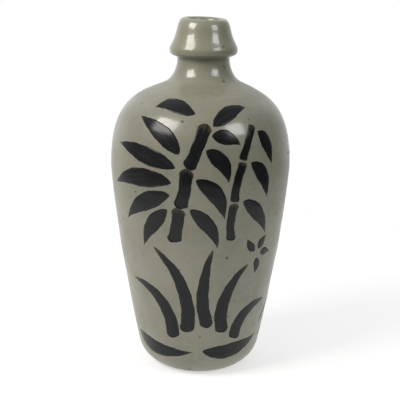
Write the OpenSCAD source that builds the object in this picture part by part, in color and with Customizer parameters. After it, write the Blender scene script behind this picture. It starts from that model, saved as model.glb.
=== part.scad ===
// Stoneware delivery bottle for sake, of the kind lent out by the shop and
// carried by its collar. It was thrown in sections on the wheel and luted
// together: a tall lower body, a domed upper body, a neck ring and an
// umbrella-shaped mouth collar. A clear grey-green glaze coats it outside and
// in, and iron-black brush painting lies on the glaze.
// Millimetres. The foot stands on z = 0 with its centre at the origin, and the
// front of the bottle faces -Y.

/* [Body] */
// Height from the foot to the line where the neck lands on the shoulder
body_h = 219; // [180:1:280]
// Height of the shoulder, from the belly seam up to the neck landing
shoulder_h = 61; // [48:1:75]
// Radius at the belly seam, over the glaze
belly_r = 68.2; // [56:0.1:84]
// Radius where the straight wall turns into the rounded heel
heel_r = 47; // [40:0.5:54]
// Height of the rounded heel
heel_h = 18; // [12:0.5:24]
// Radius of the trimmed foot
foot_r = 32; // [26:0.5:35]
// Slope of the wall above the heel, from level
wall_slope = 78; // [74:0.5:84]
// Slope of the shoulder where the neck lands on it
shoulder_slope = 19.8; // [12:0.2:26]

/* [Clay] */
// Thickness of the thrown wall, without glaze
wall_t = 5.6; // [4:0.1:9]
// Thickness of the floor over the foot recess
floor_t = 9; // [6:0.5:14]
// Radius of the shallow recess trimmed under the foot
recess_r = 23; // [14:0.5:25]
// Depth of that recess
recess_h = 1.5; // [0.5:0.1:3]
// Height of the tongue that keys the upper body into the lower one
seam_key = 2.5; // [1:0.1:4]

/* [Neck] */
// Sideways throw of the hand-set neck from the body axis
neck_shift = 1.6; // [0:0.1:3]
// Height from the landing line to the underside of the collar
neck_h = 19.5; // [15:0.5:30]
// Radius of the neck under the collar, over the glaze
neck_r = 19.5; // [16:0.1:22]
// Radius at which the flared foot of the neck meets the shoulder
landing_r = 29.4; // [26:0.2:34]
// Radius of the finished mouth bore, inside the glaze
bore_r = 11.5; // [8:0.1:12.5]
// Thickness of the neck spigot that the collar is lapped over
spigot_t = 3.8; // [2:0.1:4.5]

/* [Collar] */
// Radius of the collar at its widest
collar_r = 25.4; // [24:0.1:30]
// Height of the collar underside, from the neck out to the widest line
underside_h = 6; // [4:0.5:8]
// Height of the tapering side of the collar above the widest line
taper_h = 14.2; // [10:0.2:20]
// Radius of the collar at the top of the taper
lip_r = 20.2; // [18.5:0.1:23]
// Height of the rounded lip
lip_h = 8.3; // [6:0.1:10]
// Radius of the crest of the lip
crest_r = 14.8; // [14:0.1:16.5]
// Depth that the lip rounds down into the mouth
mouth_round = 4; // [2:0.5:6]
// Height of collar clay above the end of the spigot
cap_h = 9; // [6:0.5:12]

/* [Glaze] */
// Thickness of the glaze coat
glaze_t = 0.4; // [0.2:0.05:0.8]
// Share of the heel curve wiped clean of glaze above the foot
bare_share = 0.12; // [0.05:0.01:0.3]

/* [Painting] */
// Thickness of the iron pigment where it stands on the glaze
paint_t = 0.2; // [0.1:0.05:0.4]
// Gap that lets the flat facets of a stroke clear the round glaze
paint_gap = 0.08; // [0.02:0.01:0.12]

/* [Hidden] */
$fn = 96;

seam_z = body_h - shoulder_h;
collar_z = body_h + neck_h;
widest_z = collar_z + underside_h;
taper_z = widest_z + taper_h;
bottle_h = taper_z + lip_h;
bore_top = bottle_h - mouth_round;
clay_bore_r = bore_r + glaze_t;
spigot_r = clay_bore_r + spigot_t;
spigot_top = bottle_h - cap_h;
inner_t = wall_t + glaze_t;
tail = 10;
through = 1;

// ---- Curves -------------------------------------------------------------

function dir(a) = [cos(a), sin(a)];

// A cubic arc from p to q, leaving at angle a and arriving at angle b. The
// handles are shares f and g of the straight distance between the ends.
function arc(p, a, f, q, b, g) =
    let (span = norm(q - p))
    [p, p + f * span * dir(a), q - g * span * dir(b), q];

function arc_point(c, t) =
    pow(1 - t, 3) * c[0] + 3 * pow(1 - t, 2) * t * c[1]
    + 3 * (1 - t) * t * t * c[2] + pow(t, 3) * c[3];

function arc_heading(c, t) =
    pow(1 - t, 2) * (c[1] - c[0]) + 2 * (1 - t) * t * (c[2] - c[1])
    + t * t * (c[3] - c[2]);

function arc_normal(c, t) =
    let (h = arc_heading(c, t))
    [h.y, -h.x] / norm(h);

// Points along the arc from share t0 to the end, set in by d from its surface
function arc_points(c, n, d = 0, t0 = 0) =
    [for (i = [0:n]) let (t = t0 + (1 - t0) * i / n)
        arc_point(c, t) - d * arc_normal(c, t)];

function rest(list) = [for (i = [1:len(list) - 1]) list[i]];

function reversed(list) = [for (i = [len(list) - 1:-1:0]) list[i]];

// ---- Outlines, as [radius, height] over the glaze -----------------------

heel_arc = arc([foot_r, 0], 30, 0.21, [heel_r, heel_h], wall_slope, 0.49);
wall_arc = arc([heel_r, heel_h], wall_slope, 0.53, [belly_r, seam_z], 90, 0.04);
dome_arc = arc([belly_r, seam_z], 90, 0.63,
               [landing_r, body_h], 180 - shoulder_slope, 0.31);
flare_arc = arc([landing_r, body_h], 150, 0.37,
                [neck_r, collar_z - 0.5], 90, 0.3);
under_arc = arc([neck_r, collar_z], 26.5, 0.72, [collar_r, widest_z], 90, 0.45);
taper_arc = arc([collar_r, widest_z], 90, 0.18, [lip_r, taper_z], 102.6, 0.6);
lip_arc = arc([lip_r, taper_z], 102.6, 0.3, [crest_r, bottle_h], 180, 0.35);
mouth_arc = arc([crest_r, bottle_h], 180, 0.5, [bore_r, bore_top], 270, 0.5);

// The wall from the heel up, and the dome carried on in a straight slope to the
// axis, set in by d
function heel_points(d) = arc_points(heel_arc, 7, d, bare_share);
function wall_points(d) = arc_points(wall_arc, 12, d);
function dome_points(d) = arc_points(dome_arc, 16, d);
function dome_apex(d) =
    let (edge = dome_points(d)[16])
    [0, edge.y + edge.x * tan(shoulder_slope)];

function body_points(d) =
    concat(heel_points(d), rest(wall_points(d)), rest(dome_points(d)));

// The neck with its foot carried on below the dome, then the collar and mouth
function flare_points(d) =
    let (foot = arc_points(flare_arc, 8, d))
    concat([foot[0] - tail * dir(150)], foot, [[neck_r - d, collar_z]]);
function collar_points(d) =
    concat(arc_points(under_arc, 6, d), rest(arc_points(taper_arc, 8, d)),
           rest(arc_points(lip_arc, 7, d)), rest(arc_points(mouth_arc, 5, d)));

// The cavity, which follows the wall at its thickness and rounds into the floor
floor_arc = arc([foot_r - inner_t, floor_t], 10, 0.5,
                [heel_r - inner_t, heel_h + 5], wall_slope, 0.5);
function cavity_points(d) =
    concat([[0, floor_t + d]], arc_points(floor_arc, 6, d),
           [for (i = [1:12]) wall_points(inner_t + d)[i]],
           rest(dome_points(inner_t + d)), [dome_apex(inner_t + d)]);

// ---- Solids of revolution that the clay and the glaze are cut from ------

module turned(points) rotate_extrude() polygon(points);

module on_neck_axis() translate([neck_shift, 0, 0]) children();

// The whole outside of the body, filled in above the line where the glaze
// starts. The glaze ends there in an edge square to the clay.
module body_fill(d) {
    skin = body_points(d);
    start = body_points(glaze_t)[0];
    edge = d < glaze_t ? [skin[0]] : [];
    turned(concat([[0, start.y], start], edge, rest(skin), [dome_apex(d)]));
}

// The whole outside of the neck and collar, filled in below the mouth
module neck_fill(d) {
    skin = concat(flare_points(d), collar_points(d));
    end = skin[len(skin) - 1];
    on_neck_axis() turned(concat([[0, skin[0].y]], skin, [[0, end.y]]));
}

// A plug as wide as the bore, from inside the dome up to the given height
module bore_plug(r, top) {
    bottom = seam_z + shoulder_h / 2;
    on_neck_axis() translate([0, 0, bottom]) cylinder(r = r, h = top - bottom);
}

// ---- The thrown sections ------------------------------------------------

seam_mid = belly_r - glaze_t - wall_t / 2;

// The floor and wall up to the belly seam, with the trimmed, bare foot
module lower_body() {
    outside = concat([[foot_r - glaze_t, 0]], heel_points(glaze_t),
                     rest(wall_points(glaze_t)));
    inside = [for (p = cavity_points(0)) if (p.y < seam_z + 0.01) p];
    recess = [[recess_r, recess_h], [recess_r + recess_h, 0]];
    color([0.52, 0.46, 0.38])
    turned(concat([[0, recess_h]], recess, outside,
                  [[seam_mid, seam_z + seam_key]], reversed(inside)));
}

// The dome from the belly seam to the bored landing of the neck
module upper_body() {
    outside = dome_points(glaze_t);
    inside = dome_points(inner_t);
    color([0.55, 0.49, 0.41])
    difference() {
        turned(concat([[seam_mid, seam_z + seam_key]], outside,
                      [dome_apex(glaze_t), dome_apex(inner_t)],
                      reversed(inside)));
        bore_plug(clay_bore_r, bottle_h);
    }
}

// The neck ring, flared on to the dome, with a spigot for the collar on top
module neck() {
    outside = flare_points(glaze_t);
    color([0.50, 0.44, 0.36])
    difference() {
        on_neck_axis()
        turned(concat([[clay_bore_r, outside[0].y]], outside,
                      [[spigot_r, collar_z], [spigot_r, spigot_top],
                       [clay_bore_r, spigot_top]]));
        body_fill(glaze_t);
    }
}

// The umbrella-shaped collar, lapped over the spigot, with the rounded mouth
module mouth_collar() {
    color([0.54, 0.48, 0.40])
    on_neck_axis()
    turned(concat([[spigot_r, collar_z], [neck_r - glaze_t, collar_z]],
                  collar_points(glaze_t),
                  [[clay_bore_r, spigot_top], [spigot_r, spigot_top]]));
}

// ---- The glaze coats ----------------------------------------------------

// The outer coat, from the bare foot to just inside the mouth
module outer_glaze() {
    color([0.62, 0.61, 0.53])
    difference() {
        union() {
            body_fill(0);
            neck_fill(0);
        }
        body_fill(glaze_t);
        neck_fill(glaze_t);
        bore_plug(clay_bore_r, bore_top);
    }
}

// The inner coat, from the floor of the cavity up the bore to the outer coat
module inner_glaze() {
    color([0.58, 0.56, 0.47])
    difference() {
        union() {
            turned(cavity_points(0));
            bore_plug(clay_bore_r, bore_top);
        }
        turned(cavity_points(glaze_t));
        bore_plug(bore_r, bore_top + through);
    }
}

// ---- The brush painting -------------------------------------------------
// A stroke is [x, z, x, z, bend, width, kind]: its start and end, with x
// measured round the bottle from the middle of the side it is painted on, the
// sideways bow of its path, and its greatest width. Leaves are pointed at both
// ends, stems are blunt, blades start blunt and run out to a point, and dots
// are short and round.

LEAF = 0;
STEM = 1;
BLADE = 2;
DOT = 3;

// Middle of the painting on the back, round from the front
back_side = 150;

// Greatest length and width of one facet of a stroke, so that its flat underside
// stays clear of the round glaze by more than it sags between its edges
facet_l = 4;
// Least width of the tip of a stroke
tip_w = 0.7;

function fullness(kind, t) =
    kind == LEAF ? pow(sin(180 * pow(t, 0.75)), 0.9)
    : kind == STEM ? 0.84 + 0.16 * pow(2 * t - 1, 4)
    : kind == BLADE ? pow(1 - t, 0.55) * (0.75 + 0.25 * sin(90 * t))
    : sqrt(1 - pow(1.8 * t - 0.9, 2));

// The radius of the glazed body at each height, and how far it leans back there
skin = body_points(0);
skin_radius = [for (p = skin) [p.y, p.x]];
skin_lean = [for (i = [1:len(skin) - 1])
    let (d = skin[i] - skin[i - 1])
    [skin[i].y - d.y / 2, atan2(-d.x, d.y)]];

// A point at x round the bottle and z up, lifted square off the glaze
function on_skin(x, z, lift, side) =
    let (r = lookup(z, skin_radius), lean = lookup(z, skin_lean),
         a = side + x / r * 180 / PI - 90, out = r + lift * cos(lean))
    [out * cos(a), out * sin(a), z + lift * sin(lean)];

// The cross-sections of a stroke: its underside from left to right, then its
// top from right to left
function stroke_rings(s, side, steps, cuts) =
    let (p = [s[0], s[1]], q = [s[2], s[3]], across = [p.y - q.y, q.x - p.x] / norm(q - p))
    [for (i = [0:steps])
        let (t = i / steps,
             mid = p + t * (q - p) + 4 * t * (1 - t) * s[4] * across,
             lean = (q - p) + 4 * (1 - 2 * t) * s[4] * across,
             out = [-lean.y, lean.x] / norm(lean),
             w = max(tip_w, s[5] * fullness(s[6], t)))
        concat([for (j = [0:cuts])
                    let (e = mid + w * (j / cuts - 0.5) * out)
                    on_skin(e.x, e.y, paint_gap, side)],
               [for (j = [cuts:-1:0])
                    let (e = mid + w * (j / cuts - 0.5) * out)
                    on_skin(e.x, e.y, paint_gap + paint_t, side)])];

module stroke(s, side) {
    steps = ceil(norm([s[2] - s[0], s[3] - s[1]]) / facet_l) + 1;
    cuts = ceil(s[5] / facet_l);
    rings = stroke_rings(s, side, steps, cuts);
    n = 2 * (cuts + 1);
    end = steps * n;
    sides = [for (i = [0:steps - 1], j = [0:n - 1])
        let (a = i * n + j, b = i * n + (j + 1) % n)
        each [[a, a + n, b + n], [a, b + n, b]]];
    caps = [for (j = [0:cuts - 1])
        let (k = n - 1 - j)
        each [[j, j + 1, k], [j + 1, k - 1, k],
              [end + j + 1, end + j, end + k], [end + k - 1, end + j + 1, end + k]]];
    polyhedron([for (ring = rings) each ring], concat(sides, caps), convexity = 4);
}

module painting(strokes, side) {
    color([0.11, 0.11, 0.10])
    for (s = strokes) stroke(s, side);
}

// Bamboo on the front: two jointed stems with leaves hanging from their nodes
bamboo = [
    [-18.5, 113, -15, 136, 0, 11, STEM],
    [-14.5, 139.5, -9.5, 165, -1, 11, STEM],
    [-8.5, 168.5, 3, 196, -1, 10.5, STEM],
    [23, 114, 25, 140, 1, 7.5, STEM],
    [25.5, 143, 31, 170, 1, 7.5, STEM],
    [31.5, 173, 38.5, 195, 0, 7, STEM],
    [-15, 177, -48, 200, -3, 13, LEAF],
    [-18, 167, -72, 179, -2, 13, LEAF],
    [-21, 156, -78, 149, -5, 14, LEAF],
    [-22, 147, -62, 124, -4, 13.5, LEAF],
    [-24, 136, -44, 106, -3, 12, LEAF],
    [-4, 204, -35, 207, -3, 8.5, LEAF],
    [9, 196, 34, 207, 3, 10, LEAF],
    [8, 190, 29, 183, 2, 10, LEAF],
    [4, 180, 20.5, 157, 4, 11.5, LEAF],
    [-3, 159, 18, 130, 5, 12.5, LEAF],
    [38, 170, 54, 143, 4, 11, LEAF],
    [44, 191, 58, 167, 3, 9.5, LEAF],
    [32, 142, 54, 115, 4, 11.5, LEAF],
    [-7, 137, 13, 108, 4, 11, LEAF]
];
module brush_bamboo() painting(bamboo, 0);

// Orchid leaves lower on the front, springing from one root
orchid = [
    [-9, 41, -35, 106, -10, 14, BLADE],
    [-20, 35, -57, 76, -12, 14, BLADE],
    [6, 45, 10, 106, 5, 13, BLADE],
    [17.5, 40, 38, 92, 8, 13.5, BLADE],
    [28, 33, 60, 58, 9, 13, BLADE],
    [-58, 29, -5, 22, -5, 12, LEAF],
    [3, 23, 52, 29, -4, 12.5, LEAF],
    [44, 102, 37, 112, 1, 6.5, LEAF],
    [48, 103, 56, 112, 1, 6.5, LEAF],
    [50, 99, 61, 98, 1, 6.5, LEAF],
    [46, 96, 45, 84, 1, 6.5, LEAF]
];
module brush_orchid() painting(orchid, 0);

reeds = [
    [-16, 112, -92, 170, -16, 11, BLADE],
    [-10, 123, -52, 190, -11, 10, BLADE],
    [0, 127, -14, 202, -3, 9.5, BLADE],
    [11, 126, 26, 200, 3, 9.5, BLADE],
    [21, 119, 62, 172, 11, 10.5, BLADE],
    [24, 107, 68, 130, 9, 10, BLADE],
    [-21, 102, -76, 118, -8, 10, BLADE],
    [-30, 196, -38, 206, 0, 6, LEAF],
    [46, 190, 54, 202, 0, 6, LEAF]
];
module brush_reeds() painting(reeds, back_side);

pebbles = [
    [-76, 38, -40, 42, 13, 9, LEAF],
    [-68, 28, -42, 30, -4, 7, LEAF],
    [-32, 38, 12, 40, 15, 10, LEAF],
    [-24, 27, 8, 27, -5, 8, LEAF],
    [22, 37, 56, 38, 13, 9, LEAF],
    [26, 27, 50, 27, -4, 7, LEAF],
    [-56, 66, -16, 70, 13, 9, LEAF],
    [-6, 70, 32, 68, 13, 9, LEAF],
    [-14, 90, -8, 91, 0, 6, DOT],
    [-31, 91, -26, 92, 0, 5, DOT]
];
module brush_pebbles() painting(pebbles, back_side);

lower_body();
upper_body();
neck();
mouth_collar();
outer_glaze();
inner_glaze();
brush_bamboo();
brush_orchid();
brush_reeds();
brush_pebbles();
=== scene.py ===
import math

import bpy
import numpy as np
from mathutils import Matrix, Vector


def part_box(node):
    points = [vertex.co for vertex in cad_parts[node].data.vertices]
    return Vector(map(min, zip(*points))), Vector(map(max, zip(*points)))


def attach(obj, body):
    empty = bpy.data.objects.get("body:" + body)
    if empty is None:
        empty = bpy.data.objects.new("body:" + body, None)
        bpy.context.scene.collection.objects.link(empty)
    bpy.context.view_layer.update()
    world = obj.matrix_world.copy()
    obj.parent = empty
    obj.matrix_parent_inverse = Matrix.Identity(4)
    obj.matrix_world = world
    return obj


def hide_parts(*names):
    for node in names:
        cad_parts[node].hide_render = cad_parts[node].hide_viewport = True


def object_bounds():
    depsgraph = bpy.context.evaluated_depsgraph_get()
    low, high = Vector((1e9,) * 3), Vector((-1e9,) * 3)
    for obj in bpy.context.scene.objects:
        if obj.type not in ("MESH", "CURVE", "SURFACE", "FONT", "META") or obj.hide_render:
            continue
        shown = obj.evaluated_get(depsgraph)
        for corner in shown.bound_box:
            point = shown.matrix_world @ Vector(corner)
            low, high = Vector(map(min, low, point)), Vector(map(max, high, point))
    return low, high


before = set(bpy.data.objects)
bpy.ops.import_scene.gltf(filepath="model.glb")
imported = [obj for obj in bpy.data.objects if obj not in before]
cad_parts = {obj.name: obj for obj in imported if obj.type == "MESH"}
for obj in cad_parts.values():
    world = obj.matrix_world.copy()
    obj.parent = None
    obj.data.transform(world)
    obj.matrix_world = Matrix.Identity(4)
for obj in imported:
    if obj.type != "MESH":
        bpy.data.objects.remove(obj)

cad_low, cad_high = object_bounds()

# ---- Camera and studio ------------------------------------------------------
# The bottle stands on a round white table between two softboxes, the left one
# larger and brighter, in a room that is pale behind it and dim in front. The
# long lens looks down on it a little, from just above the height of its mouth.

MM = 0.001
bottle_h = cad_high.z - cad_low.z
scene = bpy.context.scene
scene.view_settings.view_transform = "Standard"


def place(name, data):
    """Links an object that holds the data into the scene."""
    made = bpy.data.objects.new(name, data)
    scene.collection.objects.link(made)
    return made


class Wire:
    """One socket of a shader tree. Python's operators on it add Math nodes."""

    def __init__(self, tree, socket=None):
        self.tree = tree
        self.socket = socket

    def node(self, kind, settings=None, sockets=None, out=0):
        """Adds a node, makes its settings, fills its sockets and gives one output."""
        made = self.tree.nodes.new("ShaderNode" + kind)
        for key, value in (settings or {}).items():
            setattr(made, key, value)
        for key, value in (sockets or {}).items():
            if isinstance(value, Wire):
                self.tree.links.new(made.inputs[key], value.socket)
            else:
                made.inputs[key].default_value = value
        return Wire(self.tree, made.outputs[out]) if made.outputs else None

    def maths(self, operation, *values):
        """One Math node, with the values in its sockets in turn."""
        return self.node("Math", {"operation": operation}, dict(enumerate(values)))

    def __add__(self, other):
        return self.maths("ADD", self, other)

    def __sub__(self, other):
        return self.maths("SUBTRACT", self, other)

    def __rsub__(self, other):
        return self.maths("SUBTRACT", other, self)

    def __mul__(self, other):
        return self.maths("MULTIPLY", self, other)

    def __truediv__(self, other):
        return self.maths("DIVIDE", self, other)

    __radd__ = __add__

    def rise(self, low, high):
        """0 at low and 1 at high, with a smooth step between. It falls if low is
        the higher."""
        settings = {"interpolation_type": "SMOOTHSTEP"}
        return self.node("MapRange", settings, {"Value": self, "From Min": low, "From Max": high})

    def mix(self, plain, full):
        """The colour plain where this is 0 and full where it is 1."""
        rgba = [colour if isinstance(colour, Wire) else (*colour, 1.0) for colour in (plain, full)]
        return self.node("Mix", {"data_type": "RGBA"}, {0: self, 6: rgba[0], 7: rgba[1]}, out=2)


def fresh_tree(owner):
    """Empties the owner's node tree and gives a wire to build in it with."""
    owner.use_nodes = True
    owner.node_tree.nodes.clear()
    return Wire(owner.node_tree)


stand_off = 2.91 * bottle_h
lens_h = 1.188 * bottle_h
lens_x = 0.05 * MM
aimed_low = math.radians(0.355)
look_down = math.atan2(lens_h - bottle_h / 2, stand_off) + aimed_low
camera_roll = math.radians(0.6)
camera = place("camera", bpy.data.cameras.new("camera"))
camera.data.lens = 93.1
camera.matrix_world = (
    Matrix.Translation((lens_x, -stand_off, lens_h))
    @ Matrix.Rotation(math.pi / 2 - look_down, 4, "X")
    @ Matrix.Rotation(camera_roll, 4, "Z")
)
scene.camera = camera

# Azimuth and elevation in degrees, width and height in metres, radiance and tint
softboxes = {
    "softbox_left": (-57, 38.5, 0.58, 0.50, 12.5, (1.0, 0.965, 0.92)),
    "softbox_right": (51.5, 34, 0.46, 0.40, 8.0, (0.96, 0.985, 1.0)),
}
softbox_distance = 1.2
aimed_at = 0.6 * bottle_h
for name, (azimuth, elevation, width, height, radiance, tint) in softboxes.items():
    lamp = bpy.data.lights.new(name, "AREA")
    lamp.color = tint
    lamp.shape = "RECTANGLE"
    lamp.size = width
    lamp.size_y = height
    lamp.energy = radiance * math.pi * width * height
    softbox = place(name, lamp)
    softbox.matrix_world = (
        Matrix.Translation((0, 0, aimed_at))
        @ Matrix.Rotation(math.radians(azimuth), 4, "Z")
        @ Matrix.Rotation(math.radians(90 - elevation), 4, "X")
        @ Matrix.Translation((0, 0, softbox_distance))
    )
    softbox.visible_camera = False

dim_room = 0.075
pale_wall = 0.65
left_wall = 0.32
ceiling = 0.42
world = bpy.data.worlds.new("studio")
scene.world = world
room = fresh_tree(world)
direction = room.node("TexCoord", out="Generated")
walls = [
    room.node("SeparateXYZ", sockets={"Vector": direction}, out=axis).rise(low, high) * strength
    for axis, low, high, strength in (
        ("Y", 0.0, 1.0, pale_wall),
        ("X", 0.1, -1.0, left_wall),
        ("Z", 0.2, 1.0, ceiling),
    )
]
seen = room.node("LightPath", out="Is Camera Ray")
brightness = room.maths("MAXIMUM", seen, sum(walls, dim_room))
backdrop = room.node("Background", sockets={"Color": (1, 1, 1, 1), "Strength": brightness})
room.node("OutputWorld", sockets={"Surface": backdrop})

table_r = 0.55
fade_from, fade_to = 0.3, 0.52
bpy.ops.mesh.primitive_circle_add(vertices=96, radius=table_r, fill_type="NGON")
table = bpy.context.object
table.name = "table"
table.data.materials.append(bpy.data.materials.new("white_table"))
cloth = fresh_tree(table.data.materials[0])
spot = cloth.node("TexCoord", out="Object")
reach = cloth.node("VectorMath", {"operation": "LENGTH"}, {0: spot}, out="Value")
white = cloth.node("BsdfPrincipled", sockets={
    "Base Color": (0.5, 0.5, 0.5, 1),
    "Roughness": 0.9,
    "Emission Color": (1, 1, 1, 1),
    "Emission Strength": 0.55,
})
clear = cloth.node("BsdfTransparent")
faded = cloth.node("MixShader", sockets={0: reach.rise(fade_from, fade_to), 1: white, 2: clear})
cloth.node("OutputMaterial", sockets={"Surface": faded})

# ---- Thrown clay: lower body, upper body, neck and mouth collar -------------
# Four sections of buff stoneware, thrown on the wheel, luted with slip and fired
# as one. Only the trimmed foot stays bare, toasted brown with iron specks.

clay = bpy.data.materials.new("bare_stoneware")
body = fresh_tree(clay)
here = body.node("TexCoord", out="Object")


def noise(wire, coordinates, scale, detail=3.0, roughness=0.5):
    """Cloudy noise from 0 to 1, this many lumps to the metre."""
    sockets = {"Vector": coordinates, "Scale": scale, "Detail": detail, "Roughness": roughness}
    return wire.node("TexNoise", {"normalize": True}, sockets)


def specks(wire, coordinates, scale, share, small, large):
    """Round specks, 1 at the middle and 0 outside: about share of the cells of a
    grid of this many to the metre hold one, between small and large metres in radius."""
    cell = {"Vector": coordinates, "Scale": scale}
    gap = wire.node("TexVoronoi", {}, cell, out="Distance") / scale
    tint = wire.node("TexVoronoi", {}, cell, out="Color")
    chance = wire.node("SeparateColor", sockets={0: tint}, out="Red")
    girth = wire.node("SeparateColor", sockets={0: tint}, out="Green")
    radius = (girth * girth * (large - small) + small) * wire.maths("LESS_THAN", chance, share)
    return (gap / (radius + 0.00001)).rise(1.0, 0.45)


toast = noise(body, here, 45, 4.0).rise(0.35, 0.7)
grit = specks(body, here, 420, 0.35, 0.0003, 0.0007)
clay_tone = toast.mix((0.235, 0.155, 0.095), (0.33, 0.24, 0.16))
clay_tone = (grit * 0.85).mix(clay_tone, (0.05, 0.03, 0.02))
sand = noise(body, here, 2600, 2.0) * 0.5 + noise(body, here, 700, 2.0)
grain = body.node("Bump", sockets={"Strength": 0.5, "Distance": 0.00025, "Height": sand})
fired = body.node("BsdfPrincipled", sockets={
    "Base Color": clay_tone,
    "Roughness": noise(body, here, 300) * 0.2 + 0.68,
    "Normal": grain,
})
body.node("OutputMaterial", sockets={"Surface": fired})

for node in ("lower_body", "upper_body", "neck", "mouth_collar"):
    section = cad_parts[node]
    for slot in section.material_slots:
        slot.material = clay

# ---- Outer glaze ------------------------------------------------------------
# One coat of clear ash glaze over the grey body, from a wiped line just above the
# foot to the inside of the mouth. It follows the finger rings of the throwing,
# runs thin over the collar's edge and pools under it. The neck just under the
# collar is also darkened with painted shade.

glaze_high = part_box("outer_glaze")[1]
collar_low, collar_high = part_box("mouth_collar")
glaze_t = round((glaze_high.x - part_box("lower_body")[1].x) / MM, 2)
belly_r = glaze_high.x / MM
top_z = glaze_high.z / MM
seam_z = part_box("upper_body")[0].z / MM
collar_z = collar_low.z / MM
collar_r = (collar_high.x - collar_low.x) / 2 / MM + glaze_t
neck_shift = (collar_high.x + collar_low.x) / 2 / MM
neck_h, underside_h, taper_h, mouth_round = 19.5, 6, 14.2, 4
landing_z = collar_z - neck_h
landing_r = 29.4
neck_r = 19.5
widest_z = collar_z + underside_h
lip_r, lip_z = 20.2, widest_z + taper_h
crest_r = 14.8
bore_r, bore_z = 11.5, top_z - mouth_round
heel_r, heel_z = 47, 18
foot_r = 32
wall_slope, shoulder_slope, flare_slope = 78, 19.8, 30
bare_share = 0.12


def arc(start, leaving, out_share, end, arriving, in_share, begin=0.0):
    """Points close together on a curve between two headings, in millimetres."""
    start, end = np.array(start, float), np.array(end, float)
    span = np.linalg.norm(end - start)
    turn = np.radians([leaving, arriving])
    out_handle = start + out_share * span * np.array([np.cos(turn[0]), np.sin(turn[0])])
    in_handle = end - in_share * span * np.array([np.cos(turn[1]), np.sin(turn[1])])
    t = np.linspace(begin, 1, 160)[:, None]
    s = 1 - t
    return s**3 * start + 3 * s * s * t * out_handle + 3 * s * t * t * in_handle + t**3 * end


def stepped(points, step):
    """The same line with points about one step apart."""
    run = np.concatenate([[0], np.cumsum(np.linalg.norm(np.diff(points, axis=0), axis=1))])
    marks = np.linspace(0, run[-1], max(2, round(run[-1] / step)) + 1)
    return np.stack([np.interp(marks, run, points[:, k]) for k in (0, 1)], 1)


def outward(points):
    """The outward unit normal at each point of an outline that runs upwards."""
    along = np.gradient(points, axis=0)
    across = np.stack([along[:, 1], -along[:, 0]], 1)
    return across / np.linalg.norm(across, axis=1)[:, None]


heel = arc((foot_r, 0), 30, 0.21, (heel_r, heel_z), wall_slope, 0.49, bare_share)
wall = arc((heel_r, heel_z), wall_slope, 0.53, (belly_r, seam_z), 90, 0.04)
dome = arc((belly_r, seam_z), 90, 0.63, (landing_r, landing_z), 180 - shoulder_slope, 0.31)
flare = arc((landing_r, landing_z), 180 - flare_slope, 0.37, (neck_r, collar_z - 0.5), 90, 0.3)
under = arc((neck_r, collar_z), 26.5, 0.72, (collar_r, widest_z), 90, 0.45)
taper = arc((collar_r, widest_z), 90, 0.18, (lip_r, lip_z), 102.6, 0.6)
lip = arc((lip_r, lip_z), 102.6, 0.3, (crest_r, top_z), 180, 0.35)
mouth = arc((crest_r, top_z), 180, 0.5, (bore_r, bore_z), 270, 0.5)
body_line = np.vstack([heel, wall[1:], dome[1:]])
body_out = outward(body_line)


def hand(azimuth, z):
    """How far the thrower's hand left the wall out of true, in millimetres."""
    oval = 0.12 * np.sin(2 * azimuth + 0.8) + 0.07 * np.sin(3 * azimuth + z / 31)
    rings = 0.015 * np.sin(2 * np.pi * z / 9 + azimuth)
    soft = 0.05 * np.sin(5 * azimuth - z / 17) * np.sin(z / 23 + 2 * azimuth)
    swell = 0.28 * np.exp(-(((z - 95) / 10) ** 2)) - 0.15 * np.exp(-(((z - 68) / 10) ** 2))
    fade = np.clip((z - 3) / 15, 0, 1) * np.clip((blend_z - z) / 15, 0, 1)
    return (oval + rings + soft + swell) * fade


def body_skin(azimuth, z, lift=0.0):
    """Points on the glazed body, at these azimuths from the front and heights."""
    r, height, out_r, out_z = (
        np.interp(z, body_line[:, 1], column)
        for column in (body_line[:, 0], body_line[:, 1], body_out[:, 0], body_out[:, 1])
    )
    off = hand(azimuth, z) + lift
    r = r + off * out_r
    return np.stack([r * np.sin(azimuth), -r * np.cos(azimuth), height + off * out_z], -1)


def ring_round(shift, r, z):
    """One ring of points round the body axis, or round the neck's if shifted."""
    r, z = r * np.ones(turns), z * np.ones(turns)
    return np.stack([shift + r * np.sin(azimuths), -r * np.cos(azimuths), z], -1)


def over_landing(ring_r):
    """A ring on the top of the shoulder, which leans across with the neck and
    rises into its foot."""
    drift = np.clip((blend_r - ring_r) / (blend_r - leant_r), 0, 1)
    past = ring_r - landing_r
    on_dome = np.interp(ring_r, dome[::-1, 0], dome[::-1, 1])
    on_flare = np.interp(ring_r, flare[::-1, 0], flare[::-1, 1])
    if past > 0:
        on_flare = landing_z - past * math.tan(math.radians(flare_slope)) - flare_droop * past**2
    else:
        on_dome = landing_z - past * math.tan(math.radians(shoulder_slope))
    z = (on_dome + on_flare + math.hypot(on_dome - on_flare, seam_fillet)) / 2
    ring = ring_round(neck_shift * drift * drift * (3 - 2 * drift), ring_r, z)
    from_body = np.hypot(ring[:, 0], ring[:, 1])
    clay_top = np.interp(from_body, dome[::-1, 0], dome[::-1, 1]) - 0.5 * glaze_t
    if past > 0:
        ring[:, 2] = np.maximum(ring[:, 2], clay_top)
    return ring


turns = 256
azimuths = np.arange(turns) / turns * 2 * np.pi
body_step, landing_step, neck_step = 1.3, 0.9, 0.75
blend_r = 45
blend_z = np.interp(blend_r, dome[::-1, 0], dome[::-1, 1])
leant_r = 34
steep_r = 23
seam_fillet = 1.3
flare_droop = 0.05

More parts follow.
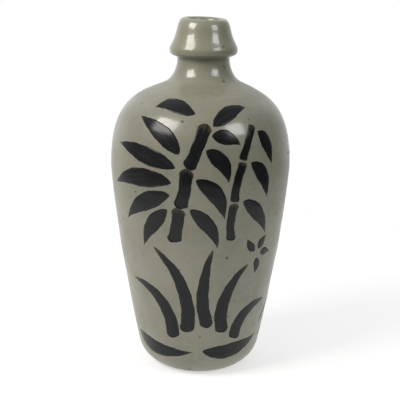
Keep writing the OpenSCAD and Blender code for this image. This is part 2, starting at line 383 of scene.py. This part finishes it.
low_part = body_line[: np.argmax((body_line[:, 1] > seam_z) & (body_line[:, 0] < blend_r))]
rings = [body_skin(azimuths, z) for z in stepped(low_part, body_step)[:, 1]]
rings += [over_landing(r) for r in np.arange(blend_r, steep_r, -landing_step)]
neck_line = np.vstack([
    stepped(flare[flare[:, 0] < steep_r], neck_step),
    stepped(under, neck_step),
    stepped(taper, neck_step)[1:],
    stepped(lip, neck_step)[1:],
    stepped(mouth, neck_step)[1:],
])
# How the lip was lifted by hand: all round, to one side, and which side
lip_lift, lip_tilt, lip_side = 0.25, 0.55, 2.0
for r, z in neck_line:
    ring = ring_round(neck_shift, r, z)
    lifted = np.clip((z - lip_z) / (top_z - lip_z), 0, 1)
    ring[:, 2] += lifted * (lip_lift + lip_tilt * np.cos(azimuths + lip_side)) * (r > bore_r)
    rings.append(ring)

# The side of the coat that lies on the clay, in fewer rings: one in five under
# the body's and one in two under the neck's
backing_share = 0.95
outside = np.array(rings)
around = np.roll(outside, -1, axis=1) - np.roll(outside, 1, axis=1)
off_clay = np.cross(around, np.gradient(outside, axis=0))
off_clay /= np.linalg.norm(off_clay, axis=2)[..., None]
landing = np.argmax(outside[:, 0, 2] > landing_z)
picked = [*range(0, landing, 5), *range(landing, len(rings) - 1, 2), len(rings) - 1]
backing = (outside - backing_share * glaze_t * off_clay)[picked]
shell = np.concatenate([outside, backing[::-1]])


def ringed_mesh(name, shell, outer_count):
    """A closed skin through rings of points, with a bake map that gives almost
    all of its room to the outer rings."""
    count, around = shell.shape[:2]
    ring, col = np.meshgrid(np.arange(count), np.arange(around), indexing="ij")
    next_ring, next_col = (ring + 1) % count, (col + 1) % around
    faces = np.stack([
        ring * around + col, ring * around + next_col,
        next_ring * around + next_col, next_ring * around + col,
    ], -1).reshape(-1, 4)
    data = bpy.data.meshes.new(name)
    data.from_pydata((shell.reshape(-1, 3) * MM).tolist(), [], faces.tolist())
    data.polygons.foreach_set("use_smooth", [True] * len(faces))
    v = np.where(ring < outer_count - 1, 0.04 + 0.95 * ring / outer_count, 0.03 * ring / count)
    v_step = np.where(ring < outer_count - 1, 0.95 / outer_count, 0.03 / count)
    u, u_step = col / around, 1 / around
    corners = [(u, v), (u + u_step, v), (u + u_step, v + v_step), (u, v + v_step)]
    spots = np.stack([np.stack(np.broadcast_arrays(*c), -1) for c in corners], 2)
    data.uv_layers.new(name="OFBake").data.foreach_set("uv", spots.astype(np.float32).ravel())
    return place(name, data)


outer_glaze = ringed_mesh("glaze_coat", shell, len(rings))

# Where the glaze is thick, above 0, and where it ran thin, below 0. The rise on the neck just
# under the collar is painted shade as well as pooled glaze.
heights = shell[..., 2]
girths = np.hypot(shell[..., 0] - neck_shift, shell[..., 1])


def near(value, middle, spread):
    """1 at the middle, fading to nothing on both sides."""
    return np.exp(-(((value - middle) / spread) ** 2))


depth_and_shade = (
    0.9 * near(heights, collar_z, 2.2) * (girths < 23)
    - 0.9 * near(heights, widest_z + 0.5, 1.3) * (girths > 24)
    - 0.5 * near(heights, top_z, 1.6)
    + 0.4 * near(heights, 5, 4)
)
pooled_and_shade = outer_glaze.data.attributes.new("pooled_and_shade", "FLOAT", "POINT")
pooled_and_shade.data.foreach_set("value", depth_and_shade.astype(np.float32).ravel())

glaze = bpy.data.materials.new("ash_glaze")
coat = fresh_tree(glaze)
here = coat.node("TexCoord", out="Object")
stretched = coat.node("Mapping", sockets={"Vector": here, "Scale": (0.22, 0.22, 4.0)})
depth_and_shade_fac = coat.node("Attribute", {"attribute_name": "pooled_and_shade"}, out="Fac")
above = coat.node("SeparateXYZ", sockets={"Vector": here}, out="Z") / (landing_z * MM)

clouds = noise(coat, here, 22, 3.0).rise(0.3, 0.7)
lines = noise(coat, stretched, 95, 3.0).rise(0.3, 0.7)
fine_lines = noise(coat, stretched, 420, 2.0)
glaze_tone = clouds.mix((0.170, 0.170, 0.128), (0.212, 0.209, 0.161))
glaze_tone = (lines * 0.3).mix(glaze_tone, (0.228, 0.216, 0.162))
curdled = noise(coat, here, 170, 5.0, 0.65).rise(0.4, 0.66)
glaze_tone = (curdled * 0.4).mix(glaze_tone, (0.246, 0.236, 0.182))
flushed = noise(coat, here, 33, 5.0).rise(0.55, 0.75)
glaze_tone = (flushed * 0.5).mix(glaze_tone, (0.212, 0.192, 0.130))
# Darker where the glaze pooled, with painted shade on the neck under the collar
glaze_tone = (depth_and_shade_fac.rise(0.0, 1.0) * 0.7).mix(glaze_tone, (0.10, 0.105, 0.07))
glaze_tone = (depth_and_shade_fac.rise(0.0, -1.0) * 0.6).mix(glaze_tone, (0.26, 0.235, 0.175))
# Warmer where it lies over the neck, and dragged by the rib round the landing
warm = above.rise(0.99, 1.06) * 0.55 + above.rise(0.9, 1.0) * clouds * 0.3
glaze_tone = warm.mix(glaze_tone, (0.222, 0.218, 0.156))
dragged = above.rise(0.93, 0.985) * above.rise(1.03, 1.0) * fine_lines.rise(0.5, 0.72)
glaze_tone = (dragged * 0.28).mix(glaze_tone, (0.15, 0.115, 0.065))
dust = specks(coat, here, 330, 0.5, 0.0002, 0.0007)
iron = specks(coat, here, 105, 0.8, 0.0005, 0.0019)
glaze_tone = (dust * 0.65).mix(glaze_tone, (0.06, 0.045, 0.028))
glaze_tone = (iron * 0.85).mix(glaze_tone, (0.05, 0.03, 0.018))

gloss = noise(coat, here, 60, 4.0).rise(0.3, 0.65)
landing_band = above.rise(0.945, 0.965) * above.rise(1.02, 1.0)
skin_bump = noise(coat, here, 260, 3.0) * 0.6 + fine_lines * 0.25 - iron * 0.3
skin = coat.node("Bump", sockets={"Strength": 0.17, "Distance": 0.0002, "Height": skin_bump})
shine = coat.node("BsdfPrincipled", sockets={
    "Base Color": glaze_tone,
    "Roughness": noise(coat, here, 120) * 0.1 + 0.3,
    "IOR": 1.5,
    "Specular IOR Level": 0.3,
    "Coat Weight": (above.rise(0.6, 1.0) * 0.6 + gloss * 0.3) * (1.0 - landing_band * 0.6),
    "Coat Roughness": 0.13,
    "Normal": skin,
    "Coat Normal": skin,
})
coat.node("OutputMaterial", sockets={"Surface": shine})
outer_glaze.data.materials.append(glaze)
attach(outer_glaze, "root")
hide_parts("outer_glaze")

# ---- Inner glaze ------------------------------------------------------------
# The same glaze poured in, swilled round and drained, so it lies thinner inside
# and lets more of the brown body through.

lining = bpy.data.materials.new("poured_glaze")
inside = fresh_tree(lining)
here = inside.node("TexCoord", out="Object")
drained = inside.node("Mapping", sockets={"Vector": here, "Scale": (3.0, 3.0, 0.4)})
runs = noise(inside, drained, 60, 3.0).rise(0.3, 0.7)
wet = inside.node("Bump", sockets={"Strength": 0.3, "Distance": 0.0003, "Height": runs})
poured = inside.node("BsdfPrincipled", sockets={
    "Base Color": runs.mix((0.13, 0.12, 0.085), (0.19, 0.175, 0.125)),
    "Roughness": noise(inside, here, 200) * 0.15 + 0.22,
    "IOR": 1.52,
    "Normal": wet,
})
inside.node("OutputMaterial", sockets={"Surface": poured})
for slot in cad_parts["inner_glaze"].material_slots:
    slot.material = lining

# ---- Brush painting ---------------------------------------------------------
# Iron-black pigment laid on with one wide soft brush before the last firing:
# bamboo over orchid leaves on the front, reeds over pebbles on the back. Each
# stroke is a film that follows the glaze, brown where the brush ran thin.

LEAF, STEM, BLADE, DOT = range(4)
# Start x and z, end x and z, bend, width, kind, in millimetres, with x measured
# round the bottle from the middle of the side
bamboo = [
    (-18.5, 113, -15, 136, 0, 11, STEM),
    (-14.5, 139.5, -9.5, 165, -1, 11, STEM),
    (-8.5, 168.5, 3, 196, -1, 10.5, STEM),
    (23, 114, 25, 140, 1, 7.5, STEM),
    (25.5, 143, 31, 170, 1, 7.5, STEM),
    (31.5, 173, 38.5, 195, 0, 7, STEM),
    (-15, 177, -48, 200, -3, 13, LEAF),
    (-18, 167, -72, 179, -2, 13, LEAF),
    (-21, 156, -78, 149, -5, 14, LEAF),
    (-22, 147, -62, 124, -4, 13.5, LEAF),
    (-24, 136, -44, 106, -3, 12, LEAF),
    (-4, 204, -35, 207, -3, 8.5, LEAF),
    (9, 196, 34, 207, 3, 10, LEAF),
    (8, 190, 29, 183, 2, 10, LEAF),
    (4, 180, 20.5, 157, 4, 11.5, LEAF),
    (-3, 159, 18, 130, 5, 12.5, LEAF),
    (38, 170, 54, 143, 4, 11, LEAF),
    (44, 191, 58, 167, 3, 9.5, LEAF),
    (32, 142, 54, 115, 4, 11.5, LEAF),
    (-7, 137, 13, 108, 4, 11, LEAF),
]
orchid = [
    (-9, 41, -35, 106, -10, 14, BLADE),
    (-20, 35, -57, 76, -12, 14, BLADE),
    (6, 45, 10, 106, 5, 13, BLADE),
    (17.5, 40, 38, 92, 8, 13.5, BLADE),
    (28, 33, 60, 58, 9, 13, BLADE),
    (-58, 29, -5, 22, -5, 12, LEAF),
    (3, 23, 52, 29, -4, 12.5, LEAF),
    (44, 102, 37, 112, 1, 6.5, LEAF),
    (48, 103, 56, 112, 1, 6.5, LEAF),
    (50, 99, 61, 98, 1, 6.5, LEAF),
    (46, 96, 45, 84, 1, 6.5, LEAF),
]
reeds = [
    (-16, 112, -92, 170, -16, 11, BLADE),
    (-10, 123, -52, 190, -11, 10, BLADE),
    (0, 127, -14, 202, -3, 9.5, BLADE),
    (11, 126, 26, 200, 3, 9.5, BLADE),
    (21, 119, 62, 172, 11, 10.5, BLADE),
    (24, 107, 68, 130, 9, 10, BLADE),
    (-21, 102, -76, 118, -8, 10, BLADE),
    (-30, 196, -38, 206, 0, 6, LEAF),
    (46, 190, 54, 202, 0, 6, LEAF),
]
pebbles = [
    (-76, 38, -40, 42, 13, 9, LEAF),
    (-68, 28, -42, 30, -4, 7, LEAF),
    (-32, 38, 12, 40, 15, 10, LEAF),
    (-24, 27, 8, 27, -5, 8, LEAF),
    (22, 37, 56, 38, 13, 9, LEAF),
    (26, 27, 50, 27, -4, 7, LEAF),
    (-56, 66, -16, 70, 13, 9, LEAF),
    (-6, 70, 32, 68, 13, 9, LEAF),
    (-14, 90, -8, 91, 0, 6, DOT),
    (-31, 91, -26, 92, 0, 5, DOT),
]
paintings = {
    "bamboo_film": ("brush_bamboo", bamboo, 0),
    "orchid_film": ("brush_orchid", orchid, 0),
    "reeds_film": ("brush_reeds", reeds, 150),
    "pebbles_film": ("brush_pebbles", pebbles, 150),
}
film_lift, film_crown, film_root = 0.05, 0.05, -0.1
film_step, film_cut = 0.9, 0.8
tip_w = 0.6


def fullness(kind, t):
    """The width along a stroke as a share of its greatest."""
    if kind == LEAF:
        return np.sin(np.pi * t**0.75) ** 0.9
    if kind == STEM:
        return 0.84 + 0.16 * (2 * t - 1) ** 4
    if kind == BLADE:
        return (1 - t) ** 0.55 * (0.75 + 0.25 * np.sin(np.pi / 2 * t))
    return np.sqrt(np.clip(1 - (1.8 * t - 0.9) ** 2, 0, 1))


def stroke_film(stroke, side, seed):
    """Rings across one stroke, each the top from left to right and then the root
    back again, with the place of every point along and across the stroke."""
    x0, z0, x1, z1, bend, width, kind = stroke
    start, end = np.array([x0, z0], float), np.array([x1, z1], float)
    length = np.linalg.norm(end - start)
    square = np.array([start[1] - end[1], end[0] - start[0]]) / length
    t = np.linspace(0, 1, max(10, round(length / film_step)))[:, None]
    middle = start + t * (end - start) + 4 * t * (1 - t) * bend * square
    heading = (end - start) + 4 * (1 - 2 * t) * bend * square
    out = np.stack([-heading[:, 1], heading[:, 0]], 1)
    out /= np.linalg.norm(out, axis=1)[:, None]
    wide = np.maximum(tip_w, width * fullness(kind, t[:, 0]))
    cuts = np.linspace(-1, 1, max(7, round(width / film_cut)))
    run = t * length
    ragged = np.stack([
        0.30 * np.sin(run / 6.1 + seed + phase) + 0.14 * np.sin(run / 1.9 + 2 * seed + phase)
        + 0.07 * np.sin(run / 0.8 + 3 * seed)
        for phase in (0.0, 2.6)
    ], 1)[..., 0] * np.minimum(1, wide / 5)[:, None]
    reach = wide[:, None] / 2 + np.where(cuts < 0, ragged[:, :1], ragged[:, 1:])
    place_on = middle[:, None, :] + out[:, None, :] * (reach * cuts)[..., None]
    blunt_ends = {STEM: t**6 - (1 - t) ** 6, BLADE: -((1 - t) ** 8)}.get(kind, 0 * t)
    round_end = 0.36 * np.sqrt(1 - 0.97 * cuts**2) - 0.2 + 0.04 * np.sin(3 * cuts + seed)
    pressed = blunt_ends * wide[:, None] * round_end
    forward = heading / np.linalg.norm(heading, axis=1)[:, None]
    place_on = place_on + forward[:, None, :] * pressed[..., None]
    r = np.interp(place_on[..., 1], body_line[:, 1], body_line[:, 0])
    azimuth = math.radians(side) + place_on[..., 0] / r
    top = body_skin(azimuth, place_on[..., 1], film_lift + film_crown * (1 - cuts**4))
    root = body_skin(azimuth, place_on[..., 1], film_root)
    ring = np.concatenate([top, root[:, ::-1]], 1)
    along = np.repeat(t, ring.shape[1], 1)
    across = np.tile(np.concatenate([cuts, cuts[::-1]]), (len(t), 1))
    spot = np.concatenate([place_on, place_on[:, ::-1]], 1)
    return ring, {"along": along, "across": across, "run": along * length}, spot


def film_object(name, strokes, side):
    """All the strokes of one painting in one mesh of separate closed films."""
    points, faces, spots, marks = [], [], [], {"along": [], "across": [], "run": [], "seed": []}
    total = 0
    for seed, stroke in enumerate(strokes):
        ring, where, spot = stroke_film(stroke, side, seed)
        steps, around = ring.shape[:2]
        i, j = np.meshgrid(np.arange(steps - 1), np.arange(around), indexing="ij")
        k = (j + 1) % around
        here, after = i * around, (i + 1) * around
        quads = np.stack([here + j, here + k, after + k, after + j], -1)
        half = around // 2
        ends = [[base + a, base + a + 1, base + around - 2 - a, base + around - 1 - a]
                for base in (0, (steps - 1) * around) for a in range(half - 1)]
        ends[half - 1:] = [quad[::-1] for quad in ends[half - 1:]]
        both = np.vstack([quads.reshape(-1, 4), np.array(ends)])[:, ::-1]
        faces.append(both + total)
        points.append(ring.reshape(-1, 3))
        flat = spot.reshape(-1, 2).copy()
        hidden = np.tile(np.arange(around) >= half, steps)
        spots.append(np.column_stack([flat, hidden]))
        for key in ("along", "across", "run"):
            marks[key].append(where[key].ravel())
        marks["seed"].append(np.full(steps * around, float(seed)))
        total += steps * around
    points, faces, spots = np.vstack(points), np.vstack(faces), np.vstack(spots)
    data = bpy.data.meshes.new(name)
    data.from_pydata((points * MM).tolist(), [], faces.tolist())
    data.polygons.foreach_set("use_smooth", [True] * len(faces))
    for key, values in marks.items():
        column = data.attributes.new(key, "FLOAT", "POINT")
        column.data.foreach_set("value", np.concatenate(values).astype(np.float32))
    low, high = spots[:, :2].min(0), spots[:, :2].max(0)
    flat = (spots[:, :2] - low) / (high - low)
    under_side = spots[faces.ravel(), 2].reshape(-1, 4).max(1) > 0
    corner = flat[faces.ravel()].reshape(-1, 4, 2)
    corner = np.where(under_side[:, None, None], corner * 0.04, 0.05 + corner * 0.94)
    data.uv_layers.new(name="OFBake").data.foreach_set("uv", corner.astype(np.float32).ravel())
    return place(name, data)


ink = bpy.data.materials.new("iron_brushwork")
pigment = fresh_tree(ink)
along, across, run, seed = (
    pigment.node("Attribute", {"attribute_name": name}, out="Fac")
    for name in ("along", "across", "run", "seed")
)
hairs = pigment.node("CombineXYZ", sockets={0: across * 3.0 + seed * 7.3, 1: run * 0.035, 2: seed})
streak = noise(pigment, hairs, 2.2, 3.0)
here = pigment.node("TexCoord", out="Object")
cloudy = noise(pigment, here, 130, 3.0)
edge = (across * across).rise(0.72, 1.0)
tail = along.rise(0.8, 1.0)
thin = (edge * 0.45 + tail * 0.55 + (streak - 0.5) * 0.7 + (cloudy - 0.5) * 0.5).rise(0.15, 0.95)
# Lighter bluish grey along the brush streaks: streaky pigment with a painted sheen
ink_tone = streak.rise(0.42, 0.72).mix((0.0065, 0.0065, 0.0068), (0.013, 0.0142, 0.0165))
ink_tone = thin.mix(ink_tone, (0.075, 0.06, 0.036))
laid = pigment.node("Bump", sockets={
    "Strength": 0.3,
    "Distance": 0.00012,
    "Height": streak + cloudy,
})
fused = pigment.node("BsdfPrincipled", sockets={
    "Base Color": ink_tone,
    "Roughness": streak * 0.12 + 0.12,
    "IOR": 1.5,
    "Specular IOR Level": 0.24,
    "Normal": laid,
})
pigment.node("OutputMaterial", sockets={"Surface": fused})

for name, (node, strokes, side) in paintings.items():
    film = film_object(name, strokes, side)
    film.data.materials.append(ink)
    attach(film, "root")
    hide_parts(node)
